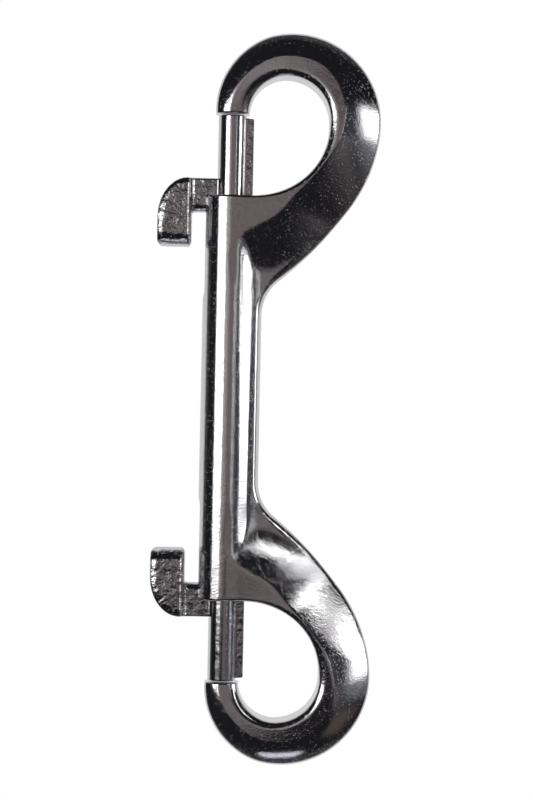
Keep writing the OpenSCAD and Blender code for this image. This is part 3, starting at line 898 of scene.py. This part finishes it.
def plating_material(name, colour, roughness, grain, lumps=0.0, pits=1.0, smooth_within=None):
    """Bright plating over a casting: fine grain, slow waves left by hand polishing and small stray
    pits. Less of them shows within that many millimetres of the barrel's axis, where it is given."""
    mat = bpy.data.materials.new(name)
    mat.use_nodes = True
    tree = mat.node_tree
    shader = tree.nodes["Principled BSDF"]
    shader.inputs["Base Color"].default_value = colour
    shader.inputs["Metallic"].default_value = 1.0
    place = put(tree, "TexCoord").outputs["Object"]

    def noise(scale, detail):
        inputs = {"Vector": place, "Scale": scale, "Detail": detail}
        return put(tree, "TexNoise", inputs).outputs["Fac"]

    layers = []
    for (scale, detail, depth), share in ((WAVES, 1 + lumps), (LUMPS, lumps), (GRAIN, grain)):
        layers.append((noise(scale, detail), depth * share))
    cells = put(tree, "TexVoronoi", {"Vector": place, "Scale": PIT_SCALE})
    split = put(tree, "SeparateColor", {"Color": cells.outputs["Color"]})
    wall = ranged(tree, cells.outputs["Distance"], PIT_WALL, (1, 0))
    chosen = ranged(tree, split.outputs["Red"], (PIT_FREE, 1), (0, 1))
    layers.append((maths(tree, "MULTIPLY", wall, chosen), PIT_DEPTH * pits))
    strength = 1.0
    if smooth_within:
        apart = put(tree, "SeparateXYZ", {0: place})
        near = maths(tree, "COMPARE", apart.outputs["X"], ORIGIN[0] * MM, smooth_within * MM)
        strength = ranged(tree, near, (0, 1), (1, PIN_BUMP))
    normal = None
    for height, depth in layers:
        inputs = {"Strength": strength, "Distance": depth, "Height": height}
        if normal:
            inputs["Normal"] = normal
        normal = put(tree, "Bump", inputs).outputs["Normal"]
    tree.links.new(normal, shader.inputs["Normal"])
    least, most = GLOSS_SHARES
    gloss = ranged(tree, noise(*GLOSS), GLOSS_NOISE, (roughness * least, roughness * most))
    tree.links.new(gloss, shader.inputs["Roughness"])
    return mat


class BOLTSNAP_OT_body(bpy.types.Operator):
    """Build the casting: barrel, flange and both hooks, with the bolts' ways cut out"""

    bl_idname = "boltsnap.body"
    bl_label = "Casting"

    def execute(self, context):
        obj = body_mesh(in_mm(context.scene.boltsnap_body))
        cut_bolt_ways(obj, in_mm(context.scene.boltsnap_bolt))
        shade(obj)
        look = context.scene.boltsnap_finish
        finish = plating_material("polished_plating", look.plating, look.body_rough, look.grain)
        obj.data.materials.clear()
        obj.data.materials.append(finish)
        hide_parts("body")
        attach(obj, "body")
        return {"FINISHED"}


class BOLTSNAP_OT_bolts(bpy.types.Operator):
    """Build the two sliding bolts: pin, fin, arm and thumb knob"""

    bl_idname = "boltsnap.bolts"
    bl_label = "Sliding bolts"

    def execute(self, context):
        sizes = in_mm(context.scene.boltsnap_bolt)
        look = context.scene.boltsnap_finish
        finish = plating_material(
            "cast_plating", look.plating, look.bolt_rough, BOLT_GRAIN * look.grain, BOLT_LUMPS,
            BOLT_PITS, smooth_within=sizes.pin_r + PIN_MARGIN)
        for node, side in (("upper_bolt", 1), ("lower_bolt", -1)):
            parts = [pin_mesh("pin", sizes, side), knob_mesh("knob", sizes, side)]
            obj = join(node + "_casting", parts)
            shade(obj)
            obj.data.materials.append(finish)
            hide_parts(node)
            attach(obj, node)
        return {"FINISHED"}


class BOLTSNAP_OT_springs(bpy.types.Operator):
    """Build the two compression springs inside the barrel"""

    bl_idname = "boltsnap.springs"
    bl_label = "Springs"

    def execute(self, context):
        sizes = in_mm(context.scene.boltsnap_bolt)
        look = context.scene.boltsnap_finish
        finish = plating_material("spring_steel", look.plating, look.bolt_rough, 0.0)
        for end, side in (("upper", 1), ("lower", -1)):
            obj = spring_mesh(end + "_spring_wire", sizes, side)
            shade(obj)
            obj.data.materials.append(finish)
            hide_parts(end + "_spring")
            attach(obj, "body")
            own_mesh(obj)
        return {"FINISHED"}


class BOLTSNAP_OT_stage(bpy.types.Operator):
    """Set the camera, the white ground and the soft studio light"""

    bl_idname = "boltsnap.stage"
    bl_label = "Stage"

    def execute(self, context):
        scene = context.scene
        camera = bpy.data.objects.new("camera", bpy.data.cameras.new("camera"))
        scene.collection.objects.link(camera)
        scene.camera = camera
        camera.location = (CAMERA_X * MM, CAMERA_Y * MM, CAMERA_Z * MM)
        camera.rotation_euler = (0, 0, math.radians(CAMERA_TURN))
        camera.data.sensor_fit = "VERTICAL"
        camera.data.sensor_height = SENSOR
        shown_height = PICTURE_HEIGHT * MM_PER_PX / SHOWN_SHARE
        camera.data.lens = SENSOR * (CAMERA_Z - ORIGIN[2]) / shown_height
        bpy.ops.mesh.primitive_plane_add(size=TABLE_SIDE)
        floor = context.object
        floor.name = "floor"
        floor.data.materials.append(ground_material())
        studio_world(scene)
        strip_lights(scene)
        scene.view_settings.view_transform = "Standard"
        return {"FINISHED"}


def ground_material():
    """White to the camera, a glow to the plating that grows with the ray's steepness, and a pale
    matt table to any other ray."""
    mat = bpy.data.materials.new("white_ground")
    mat.use_nodes = True
    tree = mat.node_tree
    table = tree.nodes["Principled BSDF"]
    table.inputs["Base Color"].default_value = TABLE_GREY
    table.inputs["Roughness"].default_value = TABLE_ROUGH
    path = put(tree, "LightPath").outputs
    shown = maths(tree, "MAXIMUM", path["Is Camera Ray"], path["Is Glossy Ray"])
    incoming = put(tree, "NewGeometry").outputs["Incoming"]
    steepness = put(tree, "SeparateXYZ", {0: incoming}).outputs["Z"]
    glow = ranged(tree, steepness, TABLE_STEEPNESS, TABLE_GLOW)
    bright = ranged(tree, path["Is Camera Ray"], (0, 1), (glow, 1))
    white = put(tree, "Emission", {"Color": (*WHITE, 1), "Strength": bright})
    swap = put(tree, "MixShader", {0: shown, 1: table.outputs["BSDF"], 2: white.outputs[0]})
    tree.links.new(swap.outputs[0], tree.nodes["Material Output"].inputs["Surface"])
    return mat


def strip_lights(scene):
    """A bent, narrow and soft strip light over the lower flare: one lamp for each straight length
    of STRIP_PATH. The plating reflects it, and the camera doesn't see it."""
    path = np.array(STRIP_PATH)
    for i, (low, high) in enumerate(zip(path[:-1], path[1:])):
        centre = (low + high) / 2
        back = centre - STRIP_FACES
        back /= np.linalg.norm(back)
        run = (high - low) - np.dot(high - low, back) * back
        length = np.linalg.norm(run)
        run /= length
        data = bpy.data.lights.new(f"strip_{i}", "AREA")
        data.shape = "RECTANGLE"
        data.size, data.size_y = length * MM, STRIP_WIDTH * MM
        data.energy = STRIP_WATTS_PER_MM * length
        data.spread = math.radians(STRIP_SPREAD)
        strip = bpy.data.objects.new(f"strip_{i}", data)
        scene.collection.objects.link(strip)
        turn = np.eye(4)
        turn[:3, 0], turn[:3, 1], turn[:3, 2] = run, np.cross(back, run), back
        turn[:3, 3] = centre * MM
        strip.matrix_world = Matrix(turn.tolist())
        strip.visible_camera = False


def studio_world(scene):
    """A dark studio with bright panels, drawn by the direction that a ray leaves in. The plating
    reflects it, and the camera itself sees a plain white backdrop."""
    world = bpy.data.worlds.new("studio")
    scene.world = world
    world.use_nodes = True
    tree = world.node_tree
    tree.nodes.clear()

    def window(value, edges, soft):
        low, high = edges
        rise = ranged(tree, value, (low - soft, low + soft), (0, 1), "SMOOTHSTEP")
        drop = ranged(tree, value, (high - soft, high + soft), (1, 0), "SMOOTHSTEP")
        return maths(tree, "MULTIPLY", rise, drop)

    def light(label, colour, strength=1):
        inputs = {"Color": (*colour, 1), "Strength": strength}
        return put(tree, "Background", inputs, label=label).outputs[0]

    place = put(tree, "TexCoord").outputs["Generated"]
    leaves = put(tree, "SeparateXYZ", {0: place}).outputs
    tilt_x = maths(tree, "ARCTAN2", leaves["X"], leaves["Z"])
    tilt_x = maths(tree, "MULTIPLY", tilt_x, 180 / math.pi)
    tilt_y = maths(tree, "MULTIPLY", maths(tree, "ARCSINE", leaves["Y"]), 180 / math.pi)
    total = light("sky", SKY)
    for label, x_edges, y_edges, soft, strength, colour in PANELS:
        mask = maths(tree, "MULTIPLY", window(tilt_x, x_edges, soft), window(tilt_y, y_edges, soft))
        panel = light(label, colour, maths(tree, "MULTIPLY", mask, strength))
        total = put(tree, "AddShader", {0: total, 1: panel}).outputs[0]
    seen = put(tree, "LightPath").outputs["Is Camera Ray"]
    mixed = put(tree, "MixShader", {0: seen, 1: total, 2: light("backdrop", WHITE)})
    put(tree, "OutputWorld", {"Surface": mixed.outputs[0]})


OPERATORS = (BOLTSNAP_OT_body, BOLTSNAP_OT_bolts, BOLTSNAP_OT_springs, BOLTSNAP_OT_stage)
GROUPS = {"boltsnap_body": BodySizes, "boltsnap_bolt": BoltSizes, "boltsnap_finish": Finish}


class BOLTSNAP_PT_panel(bpy.types.Panel):
    """The sizes and the finish, and a button for each operator"""

    bl_label = "Bolt snap"
    bl_idname = "BOLTSNAP_PT_panel"
    bl_space_type = "VIEW_3D"
    bl_region_type = "UI"
    bl_category = "Bolt snap"

    def draw(self, context):
        for group, kind in GROUPS.items():
            box = self.layout.box()
            for name in kind.__annotations__:
                box.prop(getattr(context.scene, group), name)
        for operator in OPERATORS:
            self.layout.operator(operator.bl_idname)


def register():
    """Register the property groups, the operators and the panel."""
    for kind in (*GROUPS.values(), *OPERATORS, BOLTSNAP_PT_panel):
        bpy.utils.register_class(kind)
    for name, kind in GROUPS.items():
        setattr(bpy.types.Scene, name, PointerProperty(type=kind))


def unregister():
    """Take out again what register put in."""
    for name in GROUPS:
        delattr(bpy.types.Scene, name)
    for kind in reversed((*GROUPS.values(), *OPERATORS, BOLTSNAP_PT_panel)):
        bpy.utils.unregister_class(kind)


def main():
    register()
    bpy.ops.boltsnap.body()
    bpy.ops.boltsnap.bolts()
    bpy.ops.boltsnap.springs()
    bpy.ops.boltsnap.stage()


if __name__ == "__main__":
    main()
